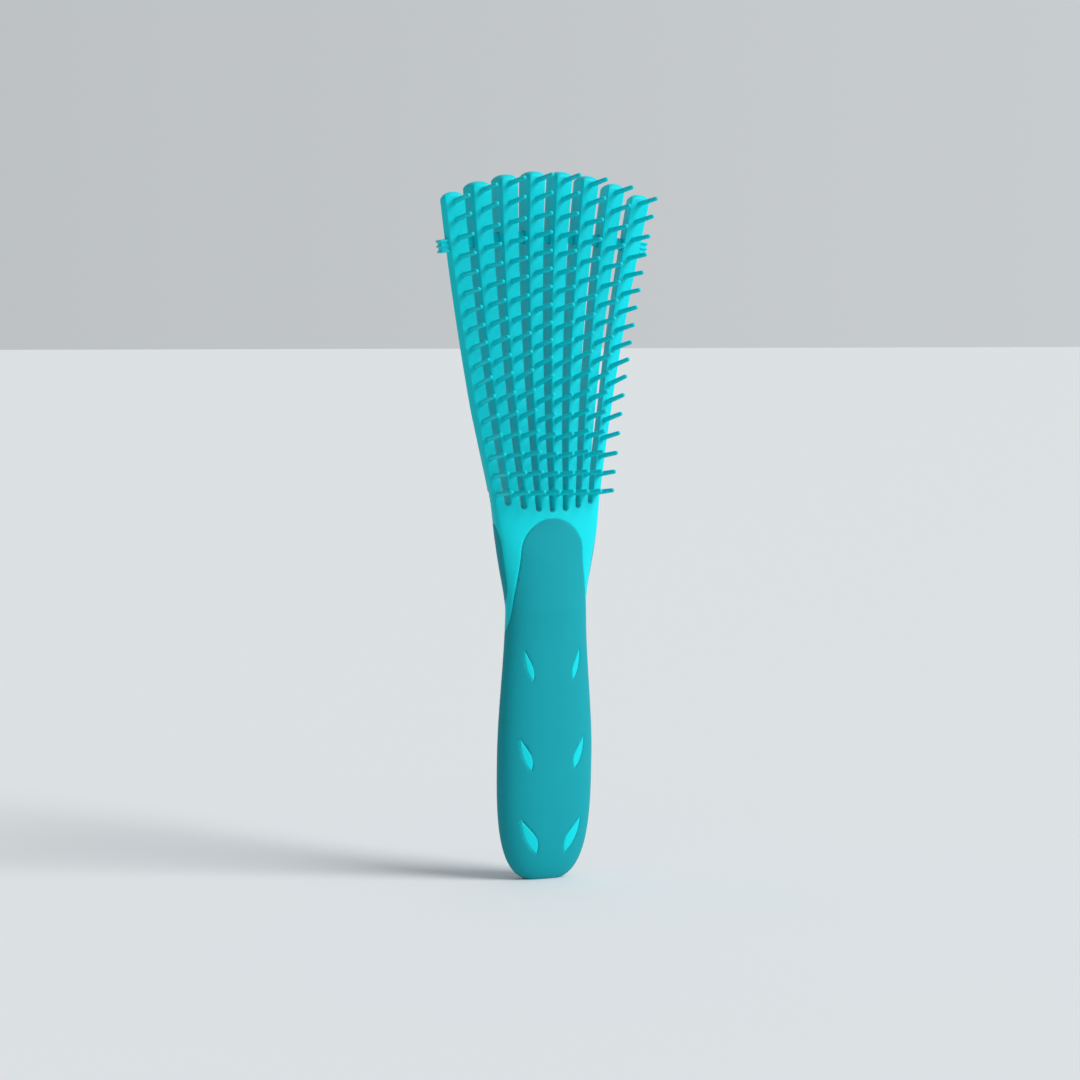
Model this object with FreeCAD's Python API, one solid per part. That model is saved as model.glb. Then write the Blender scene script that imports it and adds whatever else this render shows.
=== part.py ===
import FreeCAD, Part
import os
from math import copysign, cos, pi, radians, sin, tan

# A detangling brush that stands on its butt end. +Z runs up the brush, X runs across it and the pins
# point to -Y. A moulded core makes the neck and the tang of the handle, a soft sleeve and a thumb pad
# lie flush on it, and eight ribs fan out of the neck. Each rib carries a row of pins. A strip threaded
# through a window in each rib ties the ribs together near their tips.

Vector = FreeCAD.Vector
ORIGIN = Vector(0, 0, 0)
AXIS_X = Vector(1, 0, 0)
AXIS_Y = Vector(0, 1, 0)
AXIS_Z = Vector(0, 0, 1)

# Driving dimensions, millimetres and degrees
LENGTH = 240.0          # butt end to the tips of the middle ribs
PALM_Z = 42.0           # height of the widest place of the handle
PALM_WIDTH = 33.6
PALM_DEPTH = 16.2
WAIST_Z = 92.0          # height of the slimmest place of the handle
WAIST_WIDTH = 28.8
WAIST_DEPTH = 12.8
WAIST_ARCH = 0.6        # how far the section's edges lie behind its middle
NECK_Z = 128.0          # height of the neck's last section
NECK_WIDTH = 40.6
NECK_DEPTH = 7.4
NECK_ARCH = 3.2
HANDLE_LEAN = 2.0       # the handle leans forward from its butt to the neck, degrees
SECTION_POWER = 2.6     # squareness of the handle's sections
CAP_POWER = 3.1         # squareness of the butt's profile
CAP_CUT = 0.6           # slice off the butt's profile that leaves its flat face
SECTION_POINTS = 24     # points round each section of the handle
BUTT_STEPS = 6          # sections from the butt to the palm
BODY_STEPS = 4          # sections from the palm to the waist, and from there to the neck

# Soft layers
WALL = 1.8              # thickness of the sleeve and of the thumb pad
GRIP_FLOOR = 2.6        # thickness of the sleeve under the tang
GRIP_SEAM_Z = 88.5      # height where the sleeve ends at the sides and the back
GRIP_ARCH_R = 11.0      # radius of the arch that the sleeve makes on the neck's front
GRIP_ARCH_Z = 111.2     # height of the arch's centre
GRIP_FOOT = 13.4        # half width of the arch at the seam
PAD_Z = 108.0           # height of the thumb pad's centre
PAD_WIDTH = 31.0
PAD_HEIGHT = 29.0
PAD_BEHIND = 1.0        # the thumb pad lies this far behind the neck's middle

# Leaf windows: height, half spacing at the middle, length and tilt of each pair
LEAF_PAIRS = ((73.0, 8.9, 10.9, 16.0), (44.5, 10.1, 11.5, 20.0), (14.6, 8.5, 12.8, 27.0))
LEAF_OUTER = 1.0        # how far the leaf's outer side swells from its middle line
LEAF_INNER = 1.5        # and its inner side
LEAF_BELLY = 1 / 6      # the inner side is fullest this share of the length below the middle
LEAF_FOOT = 0.9         # width of the leaf's blunt lower end

# Ribs: a fan with its apex inside the handle
RIBS = 8
APEX_Z = 17.0
RIB_ANGLE = 2.69        # from one rib to the next
ROOT_WIDTH = 3.4
TIP_WIDTH = 5.5
ROOT_DEPTH = 4.0
TIP_DEPTH = 6.5
BOW = 3.8               # how far the ribs curve back between root and tip
TIP_LEAD = 1.7          # how far the tips lie in front of the roots
TIP_DROP = 0.343        # how much shorter a rib is, times its place from the middle squared
TIP_ROUND = 2.2         # height of the rounded tip
RIB_ARCH = 0.3          # how far a rib lies back, times its place from the middle squared

# The ribs bend where they leave the neck: both faces there are round about one axis across the brush
ROCK_Z = 117.3
ROCK_RADIUS = 9.0
ROOT_GAP = 0.3

# Pins
PIN_PITCH = 6.35
PIN_ROW_Z = 130.0       # height of the lowest row
PIN_TIP_MARGIN = 2.7    # from the top pin to the rib's tip
PIN_LENGTH = 10.5       # outside the rib
PIN_ROOT_D = 1.5
PIN_TIP_D = 1.2
PIN_SEAT = 1.2          # depth of the pin inside the rib
PIN_TILT = 9.0          # towards the tip
PIN_SPLAY = 0.9         # outwards, times the rib's place from the middle

# Tie strip and its ends
STRIP_BELOW_TIP = 24.0  # from the tips of the middle ribs down to the strip
STRIP_HEIGHT = 3.9
STRIP_THICK = 1.2
STRIP_BEHIND = 3.8      # from the ribs' faces back to the middle of the strip
STRIP_PLAY = 0.85       # before and behind the strip in a rib's window
STRIP_CLEAR = 0.25      # above and below it
END_GAP = 0.3           # between an outer rib and the end beside it
END_LENGTH = 3.0
END_HEIGHT = 4.4
END_DEPTH = 3.2
END_FINS = 3
FIN_THICK = 0.9
FIN_PROUD = 0.45
TENON_LENGTH = 2.0
TENON_HEIGHT = 2.0

# Values that follow from them
MIDDLE = (RIBS + 1) / 2
NECK_Y = -NECK_Z * tan(radians(HANDLE_LEAN))
TIP_RADIUS = LENGTH - APEX_Z
ROOT_RADIUS = ROCK_Z + ROCK_RADIUS - APEX_Z
STRIP_RADIUS = TIP_RADIUS - STRIP_BELOW_TIP
BOW_MIDDLE = (ROOT_RADIUS + TIP_RADIUS) / 2
BOW_HALF = (TIP_RADIUS - ROOT_RADIUS) / 2
STRIP_PITCH = STRIP_RADIUS * sin(radians(RIB_ANGLE))
BEYOND = LENGTH         # reach of a cutting shape that has to pass everything


def place(rib):
    """A rib's place from the middle of the fan, in steps."""
    return rib - MIDDLE


def in_fan(shape, steps):
    """Turn a shape that was built on the fan's middle line to its place in the fan."""
    turned = shape.copy()
    turned.rotate(ORIGIN, AXIS_Y, steps * RIB_ANGLE)
    turned.translate(Vector(0, 0, APEX_Z))
    return turned


def flat_face(edges):
    return Part.Face(Part.Wire(Part.__sortEdges__(edges)))


def line(start, end):
    return Part.makeLine(start, end)


def arc(start, through, end):
    return Part.Arc(start, through, end).toShape()


# Handle sections

def eased(z, low, high):
    """Go smoothly from the value of one (height, value) pair to that of the next."""
    share = min(max((z - low[0]) / (high[0] - low[0]), 0), 1)
    return low[1] + (high[1] - low[1]) * share * share * (3 - 2 * share)


def along_handle(z, palm, waist, neck):
    if z < WAIST_Z:
        return eased(z, (PALM_Z, palm), (WAIST_Z, waist))
    return eased(z, (WAIST_Z, waist), (NECK_Z, neck))


def middle_y(z):
    """The handle's middle plane, which leans forward as it rises."""
    return -z * tan(radians(HANDLE_LEAN))


def butt_factor(z):
    """How much the rounded butt narrows a section."""
    if z >= PALM_Z:
        return 1.0
    share = (PALM_Z - z) / (PALM_Z + CAP_CUT)
    return (1 - share**CAP_POWER) ** (1 / CAP_POWER)


def section(z, inset):
    """One closed section of the handle, with the wall of the soft layer taken off."""
    half_width = along_handle(z, PALM_WIDTH, WAIST_WIDTH, NECK_WIDTH) / 2 * butt_factor(z) - inset
    half_depth = along_handle(z, PALM_DEPTH, WAIST_DEPTH, NECK_DEPTH) / 2 * butt_factor(z) - inset
    edge_back = along_handle(z, 0, WAIST_ARCH, NECK_ARCH)
    middle = Vector(0, middle_y(z), z)
    points = []
    for step in range(SECTION_POINTS):
        turn = 2 * pi * step / SECTION_POINTS
        across = copysign(abs(cos(turn)) ** (2 / SECTION_POWER), cos(turn))
        deep = copysign(abs(sin(turn)) ** (2 / SECTION_POWER), sin(turn))
        points.append(middle + Vector(half_width * across, half_depth * deep + edge_back * across**2, 0))
    curve = Part.BSplineCurve()
    curve.interpolate(points, True)
    return Part.Wire(curve.toShape())


def handle_solid(inset, bottom):
    heights = [bottom + (PALM_Z - bottom) * (step / BUTT_STEPS) ** 2 for step in range(BUTT_STEPS)]
    for low, high in ((PALM_Z, WAIST_Z), (WAIST_Z, NECK_Z)):
        heights += [low + (high - low) * step / BODY_STEPS for step in range(BODY_STEPS)]
    heights.append(NECK_Z)
    return Part.makeLoft([section(z, inset) for z in heights], True, False)


# Soft layers

def grip_zone():
    """The space of the sleeve: all round below the seam, and an arch on the front above it."""
    below = Part.makeBox(2 * BEYOND, 2 * BEYOND, GRIP_SEAM_Z, Vector(-BEYOND, -BEYOND, 0))
    foot_left = Vector(-GRIP_FOOT, NECK_Y, GRIP_SEAM_Z - WALL)
    foot_right = Vector(GRIP_FOOT, NECK_Y, GRIP_SEAM_Z - WALL)
    left = Vector(-GRIP_ARCH_R, NECK_Y, GRIP_ARCH_Z)
    right = Vector(GRIP_ARCH_R, NECK_Y, GRIP_ARCH_Z)
    top = Vector(0, NECK_Y, GRIP_ARCH_Z + GRIP_ARCH_R)
    edges = [line(foot_left, left), arc(left, top, right), line(right, foot_right)]
    edges.append(line(foot_right, foot_left))
    return below.fuse(flat_face(edges).extrude(Vector(0, -BEYOND, 0)))


def leaf(height, half_spacing, length, tilt, side):
    """A leaf with a point at its outer top and a blunt, wider end below, cut through the front."""
    tip = Vector(0, 0, length / 2)
    outer_foot = Vector(-LEAF_FOOT / 2, 0, -length / 2)
    inner_foot = Vector(LEAF_FOOT / 2, 0, -length / 2 + LEAF_FOOT)
    outer_side = Vector(-LEAF_OUTER, 0, 0)
    inner_side = Vector(LEAF_INNER, 0, -length * LEAF_BELLY)
    edges = [arc(tip, outer_side, outer_foot), line(outer_foot, inner_foot)]
    edges.append(arc(inner_foot, inner_side, tip))
    prism = flat_face(edges).extrude(Vector(0, -BEYOND, 0))
    prism.rotate(ORIGIN, AXIS_Y, -tilt)
    prism.translate(Vector(-half_spacing, 0, height))
    return prism if side < 0 else prism.mirror(ORIGIN, AXIS_X)


def pad_zone():
    outline = Part.Ellipse(ORIGIN, max(PAD_WIDTH, PAD_HEIGHT) / 2, min(PAD_WIDTH, PAD_HEIGHT) / 2)
    disc = Part.Face(Part.Wire(outline.toShape()))
    disc.rotate(ORIGIN, AXIS_X, 90)
    if PAD_HEIGHT > PAD_WIDTH:
        disc.rotate(ORIGIN, AXIS_Y, 90)
    disc.translate(Vector(0, middle_y(PAD_Z) + PAD_BEHIND, PAD_Z))
    return disc.extrude(Vector(0, BEYOND, 0))


def rock_cylinder(radius):
    """The round on which the ribs bend at the neck's top, with its axis across the brush."""
    return Part.makeCylinder(radius, 2 * BEYOND, Vector(-BEYOND, NECK_Y, ROCK_Z), AXIS_X)


def slot_ends():
    """The round bottoms of the slots between the ribs."""
    width = ROOT_RADIUS * sin(radians(RIB_ANGLE)) - ROOT_WIDTH
    end = Part.makeCylinder(width / 2, 2 * BEYOND, Vector(0, -BEYOND, ROOT_RADIUS), AXIS_Y)
    return [in_fan(end, place(rib) + 0.5) for rib in range(1, RIBS)]


def handle_parts():
    """The sleeve, the thumb pad and the core that they lie flush in."""
    outer = handle_solid(0, 0)
    inner = handle_solid(WALL, GRIP_FLOOR)
    soft = outer.cut(inner)
    leaves = [leaf(*pair, side) for pair in LEAF_PAIRS for side in (-1, 1)]
    grip = soft.common(grip_zone()).cut(leaves)
    pad = soft.common(pad_zone())
    above = Part.makeBox(2 * BEYOND, 2 * BEYOND, BEYOND, Vector(-BEYOND, -BEYOND, ROCK_Z))
    neck_top = above.cut(rock_cylinder(ROCK_RADIUS))
    core = outer.cut([grip, pad, neck_top] + slot_ends())
    return {"handle_core": core, "grip_sleeve": grip, "thumb_pad": pad}


# Ribs and pins

def rib_top(rib):
    return TIP_RADIUS - TIP_DROP * place(rib) ** 2


def rib_back(rib):
    """How far a rib lies behind the middle of the fan."""
    return RIB_ARCH * place(rib) ** 2


def rib_slope(rib):
    """How much a rib's face turns with the arch of the head."""
    return 2 * RIB_ARCH * place(rib) / STRIP_PITCH


def face_y(radius):
    """The face of the middle of the fan at a distance from the apex."""
    share = (radius - ROOT_RADIUS) / (TIP_RADIUS - ROOT_RADIUS)
    bow = BOW * (1 - ((radius - BOW_MIDDLE) / BOW_HALF) ** 2)
    return NECK_Y - NECK_DEPTH / 2 - TIP_LEAD * share + bow


def rib_depth(radius):
    share = (radius - ROOT_RADIUS) / (TIP_RADIUS - ROOT_RADIUS)
    return ROOT_DEPTH + (TIP_DEPTH - ROOT_DEPTH) * share


def rib_half_width(radius):
    share = (radius - ROOT_RADIUS) / (TIP_RADIUS - ROOT_RADIUS)
    return (ROOT_WIDTH + (TIP_WIDTH - ROOT_WIDTH) * share) / 2


def rib_outline(rib):
    """The rib seen from the front, cut through from front to back."""
    low = ROOT_RADIUS - ROCK_RADIUS / 2
    high = rib_top(rib) - TIP_ROUND
    low_half = rib_half_width(low)
    high_half = rib_half_width(high)
    low_left = Vector(-low_half, -BEYOND, low)
    low_right = Vector(low_half, -BEYOND, low)
    left = Vector(-high_half, -BEYOND, high)
    right = Vector(high_half, -BEYOND, high)
    top = Vector(0, -BEYOND, rib_top(rib))
    edges = [line(low_left, left), arc(left, top, right), line(right, low_right)]
    edges.append(line(low_right, low_left))
    return flat_face(edges).extrude(Vector(0, 2 * BEYOND, 0))


def across_rib(face, rib):
    """Extrude a side view across the rib, along the slope of the head's arch there."""
    half = Vector(TIP_WIDTH, rib_slope(rib) * TIP_WIDTH, 0)
    face.translate(Vector(0, rib_back(rib), 0) - half)
    return face.extrude(half * 2)


def rib_side(rib):
    """The rib seen from the side."""
    low = ROOT_RADIUS - ROCK_RADIUS / 2
    high = rib_top(rib) - TIP_ROUND
    front = [Vector(0, face_y(r), r) for r in (low, (low + high) / 2, high)]
    back = [Vector(0, face_y(r) + rib_depth(r), r) for r in (low, (low + high) / 2, high)]
    top = Vector(0, face_y(high) + rib_depth(high) / 2, rib_top(rib))
    edges = [arc(*front), arc(front[2], top, back[2]), arc(*back), line(back[0], front[0])]
    return across_rib(flat_face(edges), rib)


def strip_window(rib):
    """The window in a rib that the tie strip passes through."""
    half_depth = STRIP_THICK / 2 + STRIP_PLAY
    half_height = STRIP_HEIGHT / 2 + STRIP_CLEAR
    middle = Vector(0, face_y(STRIP_RADIUS) + STRIP_BEHIND, STRIP_RADIUS)
    around = ((-1, -1), (1, -1), (1, 1), (-1, 1), (-1, -1))
    corners = [middle + Vector(0, deep * half_depth, high * half_height) for deep, high in around]
    return across_rib(Part.Face(Part.makePolygon(corners)), rib)


def pin_profile():
    """Half of a pin's section: a straight seat, a tapered shank and a round tip."""
    root = PIN_ROOT_D / 2
    tip = PIN_TIP_D / 2
    bend = tip * cos(pi / 4)
    seat = Vector(root, 0, -PIN_SEAT)
    collar = Vector(root, 0, 0)
    shoulder = Vector(tip, 0, PIN_LENGTH - tip)
    round_middle = Vector(bend, 0, PIN_LENGTH - tip + bend)
    end = Vector(0, 0, PIN_LENGTH)
    start = Vector(0, 0, -PIN_SEAT)
    edges = [line(start, seat), line(seat, collar), line(collar, shoulder)]
    edges += [arc(shoulder, round_middle, end), line(end, start)]
    return flat_face(edges)


def pin_radii(rib):
    """The distances of a rib's pins from the apex, evenly spaced from the lowest row to the tip."""
    low = (PIN_ROW_Z - APEX_Z) / cos(radians(place(rib) * RIB_ANGLE))
    high = rib_top(rib) - PIN_TIP_MARGIN
    steps = round((high - low) / PIN_PITCH)
    return [low + (high - low) * step / steps for step in range(steps + 1)]


def pin_row(rib):
    pin = pin_profile().revolve(ORIGIN, AXIS_Z, 360)
    pin.rotate(ORIGIN, AXIS_X, 90 - PIN_TILT)
    pin.rotate(ORIGIN, AXIS_Z, PIN_SPLAY * place(rib))
    row = []
    for radius in pin_radii(rib):
        one = pin.copy()
        one.translate(Vector(0, face_y(radius) + rib_back(rib), radius))
        row.append(one)
    return row


def rib_parts(rib):
    row = pin_row(rib)
    blank = rib_side(rib).common(rib_outline(rib)).cut([strip_window(rib)] + row)
    body = in_fan(blank, place(rib)).cut(rock_cylinder(ROCK_RADIUS + ROOT_GAP))
    pins = Part.makeCompound([in_fan(pin, place(rib)) for pin in row])
    return {f"rib_{rib}": body, f"pins_{rib}": pins}


# Tie strip and its ends

def strip_band(height, half_length):
    """A band round the apex that follows the arch of the head, of a height and a half length."""
    arch_radius = STRIP_PITCH**2 / (2 * RIB_ARCH)
    middle = face_y(STRIP_RADIUS) + STRIP_BEHIND
    centre = Vector(0, middle + arch_radius, 0)
    shell = Part.makeCylinder(arch_radius + STRIP_THICK / 2, BEYOND, centre, AXIS_Z)
    shell = shell.cut(Part.makeCylinder(arch_radius - STRIP_THICK / 2, BEYOND, centre, AXIS_Z))
    ring = Part.makeCylinder(STRIP_RADIUS + height / 2, 2 * BEYOND, Vector(0, -BEYOND, 0), AXIS_Y)
    inner = Part.makeCylinder(STRIP_RADIUS - height / 2, 2 * BEYOND, Vector(0, -BEYOND, 0), AXIS_Y)
    corner = Vector(-half_length, middle - STRIP_THICK, 0)
    span = Part.makeBox(2 * half_length, arch_radius, BEYOND, corner)
    return shell.common(span).common(ring.cut(inner))


def strip_half_length():
    """Half the strip between its ends: past the outer rib, with the gap to the end beside it."""
    turn = radians(place(RIBS) * RIB_ANGLE)
    return STRIP_RADIUS * sin(turn) + (rib_half_width(STRIP_RADIUS) + END_GAP) * cos(turn)


def end_block(fin, grow, height):
    """One slab of a strip's end, beside the outer rib on the right."""
    near = rib_half_width(STRIP_RADIUS) + END_GAP
    depth = END_DEPTH + 2 * grow
    low = STRIP_RADIUS + fin - height / 2
    behind = rib_back(RIBS) + rib_slope(RIBS) * (near + END_LENGTH / 2)
    middle = face_y(STRIP_RADIUS) + STRIP_BEHIND + behind
    block = Part.makeBox(END_LENGTH + grow, depth, height, Vector(near, middle - depth / 2, low))
    return in_fan(block, place(RIBS))


def tie_parts():
    half_length = strip_half_length()
    tenons = strip_band(TENON_HEIGHT, half_length + TENON_LENGTH)
    strip = strip_band(STRIP_HEIGHT, half_length).fuse(tenons).removeSplitter()
    strip.translate(Vector(0, 0, APEX_Z))
    pitch = (END_HEIGHT - FIN_THICK) / (END_FINS - 1)
    heights = [(fin - (END_FINS - 1) / 2) * pitch for fin in range(END_FINS)]
    fins = [end_block(height, FIN_PROUD, FIN_THICK) for height in heights]
    end = end_block(0, 0, END_HEIGHT - FIN_THICK).fuse(fins).removeSplitter()
    right = end.cut(strip)
    left = end.mirror(ORIGIN, AXIS_X).cut(strip)
    return {"tie_strip": strip, "tie_end_left": left, "tie_end_right": right}


parts = handle_parts()
for rib_number in range(1, RIBS + 1):
    parts.update(rib_parts(rib_number))
parts.update(tie_parts())

os.makedirs("parts", exist_ok=True)
for name, shape in parts.items():
    shape.exportStep(f"parts/{name}.step")
    state = "valid" if shape.isValid() else "invalid"
    print(name, len(shape.Solids), "solids", round(shape.Volume, 1), "mm3", state)
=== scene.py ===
from math import asin, cos, pi, radians, sin, tan

import bmesh
import bpy
import numpy as np
from mathutils import Matrix, Vector
from mathutils.geometry import delaunay_2d_cdt, interpolate_bezier


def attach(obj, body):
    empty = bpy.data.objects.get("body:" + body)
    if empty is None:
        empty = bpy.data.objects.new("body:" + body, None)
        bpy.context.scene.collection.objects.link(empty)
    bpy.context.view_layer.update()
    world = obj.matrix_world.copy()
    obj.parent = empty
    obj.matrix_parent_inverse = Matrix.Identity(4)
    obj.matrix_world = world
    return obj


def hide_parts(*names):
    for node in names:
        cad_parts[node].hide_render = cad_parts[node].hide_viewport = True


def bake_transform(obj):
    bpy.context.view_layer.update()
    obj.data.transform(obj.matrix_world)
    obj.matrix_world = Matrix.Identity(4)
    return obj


# A detangling brush, dressed in the order in which it is put together: the moulded core, its soft sleeve
# and thumb pad, the ribs that fan out of the neck, their pins, and the strip that ties the ribs.
# Metres, +Z up the brush, X across it, and the pins point to -Y.

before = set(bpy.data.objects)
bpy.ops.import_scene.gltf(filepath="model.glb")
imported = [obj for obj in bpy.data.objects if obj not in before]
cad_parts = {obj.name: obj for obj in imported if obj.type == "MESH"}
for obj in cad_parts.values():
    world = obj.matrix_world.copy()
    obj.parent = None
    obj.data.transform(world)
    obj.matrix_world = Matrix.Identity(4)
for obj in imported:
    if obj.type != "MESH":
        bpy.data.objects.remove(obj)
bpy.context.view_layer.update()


# Moulded core
# One glossy turquoise moulding: the neck that shows, and a tang that runs down inside the soft sleeve.
# Six leaf pads of it come up through windows in the sleeve. Its top is slotted, and each stub between
# two slots carries on as a rib.

APEX_Z = 0.017            # the ribs fan out of this height
RIB_ANGLE = radians(2.63)
RIB_ARCHES = (0.00026, 0.00010)   # how far a rib's face lies back at foot and tip, times its place squared
OUTER_PLACE = 3.5         # the outer ribs' place from the middle, in steps
ROOT_RADIUS = 0.117       # the stubs end and the ribs start this far from the apex
TIP_RADIUS = 0.2225
BOW_START = 0.1093        # the ribs' faces are hollow from here to the tips
BOW = 0.0038              # depth of that hollow
FACE_START_Y = -0.00817
TIP_BACK = 0.0008         # how far the tips' faces lie behind the start of the hollow
MIDDLE_DEPTHS = (0.0073, 0.0089)  # of the middle ribs, at foot and tip
DEPTH_GROWTH = 0.45       # under 1, the depth grows most near the foot
RIB_WIDTHS = (0.0031, 0.0058)     # at foot and tip

PALM_H = 0.042
PALM_WIDTH = 0.0345
PALM_DEPTH = 0.0146
WAIST_H = 0.092
WAIST_WIDTH = 0.0295
WAIST_DEPTH = 0.0120
WAIST_ARCH = 0.0006       # how far the section's edges lie behind its middle
NECK_H = 0.110
NECK_WIDTH = 0.0352
NECK_FLARE = 0.14         # how steeply its sides widen
NECK_SWELLS = (0.04, 0.20)        # how steeply its front and its back go backwards above the waist
LEAN = tan(radians(2.0))  # the handle leans forward
HANDLE_POWER = 2.3        # squareness of the handle's sections
PLATE_POWER = 14.0        # and of the flat plate that the ribs leave
PLATE_START_H = 0.106
CAP_POWER = 3.1           # squareness of the butt's profile
CAP_CUT = 0.0006          # slice off it that leaves the flat end
ROOT_H = APEX_Z + ROOT_RADIUS


def up_rib(radius):
    """Share of the way from the start of the hollow to the tips, at a distance from the apex."""
    return (radius - BOW_START) / (TIP_RADIUS - BOW_START)


def along_rib(radius, ends):
    """Go evenly from a value at the foot to one at the tip."""
    return ends[0] + (ends[1] - ends[0]) * up_rib(radius)


def face_y(radius):
    """Where the faces of the middle ribs lie."""
    share = up_rib(radius)
    return FACE_START_Y + TIP_BACK * share + 4 * BOW * share * (1 - share)


def arch(angle, radius):
    """How far the ribs' faces curve back at an angle of the fan."""
    return along_rib(radius, RIB_ARCHES) * (angle / RIB_ANGLE) ** 2


def middle_depth(radius):
    share = max(up_rib(radius), 0)
    return MIDDLE_DEPTHS[0] + (MIDDLE_DEPTHS[1] - MIDDLE_DEPTHS[0]) * share**DEPTH_GROWTH


def slope_of(formula, place, step=0.0005):
    return (formula(place + step) - formula(place - step)) / (2 * step)


def cubic(h, low, high):
    """Go from one (height, value, slope) to the next on a smooth curve."""
    span = high[0] - low[0]
    t = np.clip((h - low[0]) / span, 0, 1)
    start = (2 * t**3 - 3 * t**2 + 1) * low[1] + (t**3 - 2 * t**2 + t) * span * low[2]
    end = (3 * t**2 - 2 * t**3) * high[1] + (t**3 - t**2) * span * high[2]
    return start + end


def rib_edge_x(radius):
    """Half the width of the whole fan, at a distance from the apex."""
    turn = OUTER_PLACE * RIB_ANGLE
    return radius * sin(turn) + along_rib(radius, RIB_WIDTHS) / 2 * cos(turn)


def rib_back_y(radius):
    return face_y(radius) + middle_depth(radius)


def along_handle(h, palm, waist, top):
    """Go from the palm's value over the waist's to a (height, value, slope) above them."""
    lower = cubic(h, (PALM_H, palm, 0), (WAIST_H, waist, 0))
    return np.where(h < WAIST_H, lower, cubic(h, (WAIST_H, waist, 0), top))


def butt_share(h):
    """How much the rounded butt narrows a section."""
    below = np.clip((PALM_H - h) / (PALM_H + CAP_CUT), 0, 1)
    return (1 - below**CAP_POWER) ** (1 / CAP_POWER)


def neck_side(h, sign, rib_side):
    """The front or the back of the sections: straight up the handle, then smoothly into the ribs."""
    depth = along_handle(h, PALM_DEPTH, WAIST_DEPTH, (ROOT_H, WAIST_DEPTH, 0)) * butt_share(h)
    handle = -h * LEAN + sign * depth / 2
    waist = -WAIST_H * LEAN + sign * WAIST_DEPTH / 2
    swell = NECK_SWELLS[0] if sign < 0 else NECK_SWELLS[1]
    root = (ROOT_H, rib_side(ROOT_RADIUS), slope_of(rib_side, ROOT_RADIUS))
    return np.where(h < WAIST_H, handle, cubic(h, (WAIST_H, waist, swell), root))


def plate_share(h):
    """How far the sections have gone from the round handle to the flat plate."""
    return cubic(h, (PLATE_START_H, 0, 0), (ROOT_H, 1, 0))


def squareness(h):
    return HANDLE_POWER * (PLATE_POWER / HANDLE_POWER) ** plate_share(h)


def section(turn, h):
    """Points of the outer surface. The middle of the front is at -90 degrees, that of the back at 90."""
    power = squareness(h)
    size = (np.abs(np.cos(turn)) ** power + np.abs(np.sin(turn)) ** power) ** (1 / power)
    across = np.cos(turn) / size
    deep = np.sin(turn) / size
    root_x = rib_edge_x(ROOT_RADIUS)
    neck = (NECK_H, NECK_WIDTH / 2, NECK_FLARE)
    root = (ROOT_H, root_x, slope_of(rib_edge_x, ROOT_RADIUS))
    lower = along_handle(h, PALM_WIDTH / 2, WAIST_WIDTH / 2, neck)
    width = np.where(h < NECK_H, lower, cubic(h, neck, root))
    root_arch = arch(asin(root_x / ROOT_RADIUS), ROOT_RADIUS)
    front = neck_side(h, -1, face_y) + along_handle(h, 0, WAIST_ARCH, (ROOT_H, root_arch, 0)) * across**2
    back = neck_side(h, 1, rib_back_y) + along_handle(h, 0, WAIST_ARCH, (ROOT_H, 0, 0)) * across**2
    x = width * butt_share(h) * across
    y = (front + back) / 2 + (back - front) / 2 * deep
    radius = np.maximum(h - APEX_Z, ROOT_RADIUS / 2)
    fall = plate_share(h) * (radius - np.sqrt(radius**2 - x**2))
    return np.stack([x, y, h - fall], axis=-1)


# Half of the surface, from the middle of the front to that of the back, is laid flat: a place on it is a
# share of the way round and a height. Tables turn that share into a turn of the section and back.
TURNS = np.linspace(-pi / 2, pi / 2, 721)
SHARES = np.linspace(0, 1, 401)
LEVELS = np.linspace(0, ROOT_H, 269)
GIRTH = 0.040             # the flat sheet is drawn this wide


def level_tables():
    points = section(TURNS[None, :], LEVELS[:, None])
    steps = np.linalg.norm(np.diff(points, axis=1), axis=2)
    lengths = np.concatenate([np.zeros((len(LEVELS), 1)), np.cumsum(steps, axis=1)], axis=1)
    shares = lengths / lengths[:, -1:]
    turns = np.stack([np.interp(SHARES, row, TURNS) for row in shares])
    return shares, turns, lengths[:, -1]


SHARE_TABLE, TURN_TABLE, HALF_GIRTHS = level_tables()


def look_up(table, column, h):
    """Read a table between its rows and columns. The column is a share of its width."""
    row = np.clip(np.asarray(h) / ROOT_H, 0, 1) * (table.shape[0] - 1)
    col = np.clip(np.asarray(column), 0, 1) * (table.shape[1] - 1)
    row_low = np.minimum(row.astype(int), table.shape[0] - 2)
    col_low = np.minimum(col.astype(int), table.shape[1] - 2)
    up = row - row_low
    on = col - col_low
    lower = table[row_low, col_low] * (1 - on) + table[row_low, col_low + 1] * on
    upper = table[row_low + 1, col_low] * (1 - on) + table[row_low + 1, col_low + 1] * on
    return lower * (1 - up) + upper * up


def on_sheet(length, h):
    """A place on the flat sheet, from its distance round from the middle of the front and its height."""
    return (length / float(np.interp(h, LEVELS, HALF_GIRTHS)) * GIRTH, h)


def surface(share, h):
    return section(look_up(TURN_TABLE, share, h), h)


HAIR = 1e-9               # shares and lengths on the sheet below this count as none


def skin(places, sink):
    """Points of the surface at places of the flat sheet, sunk by a depth along the surface's normal."""
    share = np.clip(places[:, 0] / GIRTH, 0, 1)
    h = places[:, 1]
    step = 1e-4
    point = surface(share, h)
    round_way = surface(np.minimum(share + step, 1), h) - surface(np.maximum(share - step, 0), h)
    up_way = surface(share, np.minimum(h + step, ROOT_H)) - surface(share, np.maximum(h - step, 0))
    normal = np.cross(round_way, up_way)
    on_middle = (share < HAIR) | (share > 1 - HAIR)
    normal[on_middle, 0] = 0
    point[on_middle, 0] = 0
    normal /= np.linalg.norm(normal, axis=1, keepdims=True)
    return point - normal * np.asarray(sink).reshape(-1, 1)


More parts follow.
